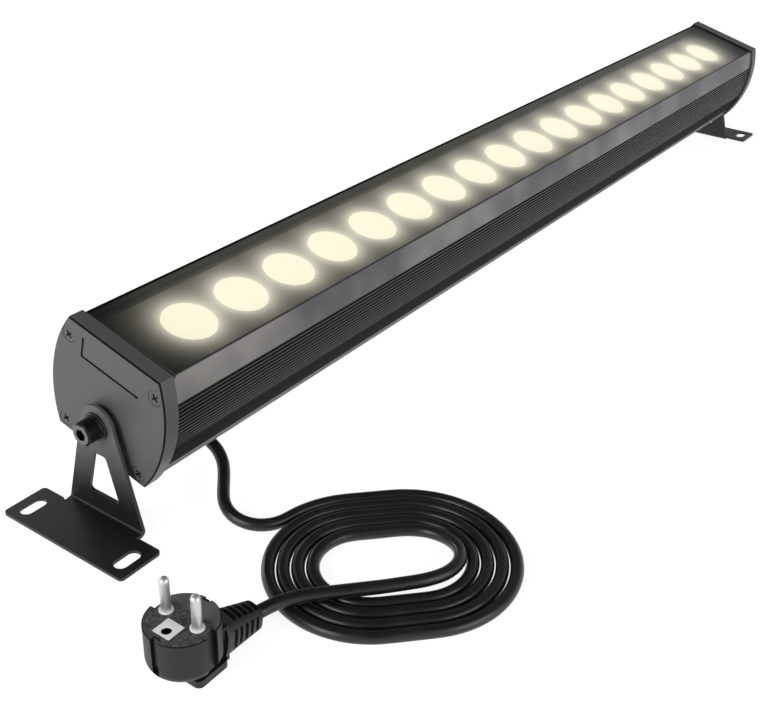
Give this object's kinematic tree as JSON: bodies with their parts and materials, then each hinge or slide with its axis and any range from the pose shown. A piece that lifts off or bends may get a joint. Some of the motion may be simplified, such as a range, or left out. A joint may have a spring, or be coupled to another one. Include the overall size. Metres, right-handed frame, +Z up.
{
  "type": "led floodlight",
  "caption": "Linear LED wall washer floodlight: extruded bar under one glass, hung between two L-shaped floor brackets, with a coiled mains lead and earthed plug.",
  "frame": {"origin": "centre of the four foot slots, on the floor under the feet", "axes": "+X along the bar towards the end away from the mains outlet, +Y across the bar away from the side it leans to, +Z up"},
  "size_m": [0.9146, 0.2529, 0.113],
  "materials": {
    "powder_grey": "satin grey anodised extrusion",
    "cap_grey": "satin grey powder coat",
    "collar_grey": "satin grey powder coat",
    "black_glass": "tempered, smoked",
    "seal_rubber": "matt black silicone",
    "bracket_paint": "fine textured black powder coat",
    "zinc_screw": "zinc plated",
    "black_bolt": "black oxide",
    "washer_steel": "zinc plated",
    "spacer_nylon": "black nylon",
    "insert_brass": "turned",
    "bezel_black": "matt black",
    "lens_clear": "optical acrylic, lit",
    "holder_white": "moulded",
    "board_white": "white solder mask on aluminium core",
    "led_phosphor": "phosphor",
    "case_zinc": "pressed sheet",
    "board_green": "solder mask",
    "parts_mixed": "wound and cased components",
    "block_white": "moulded",
    "lead_pvc": "insulated wire",
    "gland_black": "moulded nylon",
    "cord_rubber": "smooth sheath",
    "plug_black": "moulded",
    "pin_nickel": "nickel plated",
    "collar_white": "moulded",
    "earth_steel": "nickel plated"
  },
  "bodies": {
    "lamp": {"housing_profile": "powder_grey", "front_glass": "black_glass", "glass_seal": "seal_rubber", "near_end_plate": "cap_grey", "near_collar": "collar_grey", "near_gasket": "seal_rubber", "far_end_plate": "cap_grey", "far_collar": "collar_grey", "far_gasket": "seal_rubber", "cap_screws": "zinc_screw", "threaded_inserts": "insert_brass", "pivot_bolts": "black_bolt", "spring_washers": "washer_steel", "flat_washers": "washer_steel", "spacer_washers": "spacer_nylon", "lens_bezel_plate": "bezel_black", "lenses": "lens_clear", "lens_holders": "holder_white", "led_boards": "board_white", "led_packages": "led_phosphor", "board_screws": "zinc_screw", "driver_case": "case_zinc", "driver_lid": "case_zinc", "driver_screws": "zinc_screw", "driver_board": "board_green", "driver_parts": "parts_mixed", "terminal_block": "block_white", "inner_leads": "lead_pvc", "cable_outlet": "gland_black", "gland_nut": "gland_black", "gland_seal": "seal_rubber", "gland_sleeve": "gland_black", "cord_drop": "cord_rubber", "cord_coil": "cord_rubber", "cord_tail": "cord_rubber", "plug_body": "plug_black", "plug_boot": "plug_black", "plug_pins": "pin_nickel", "pin_collars": "collar_white", "plug_earth_plate": "earth_steel", "plug_earth_clips": "earth_steel"},
    "near_bracket": {"near_bracket": "bracket_paint"},
    "far_bracket": {"far_bracket": "bracket_paint"}
  },
  "joints": [
    {"name": "near_pivot", "type": "hinge", "parent": "lamp", "child": "near_bracket", "pos_m": [-0.4045, 0, 0.058], "axis": [1, 0, 0], "range_deg": [-75.5, 104.5]},
    {"name": "far_pivot", "type": "hinge", "parent": "lamp", "child": "far_bracket", "pos_m": [0.4045, 0, 0.058], "axis": [1, 0, 0], "range_deg": [-75.5, 104.5]}
  ]
}
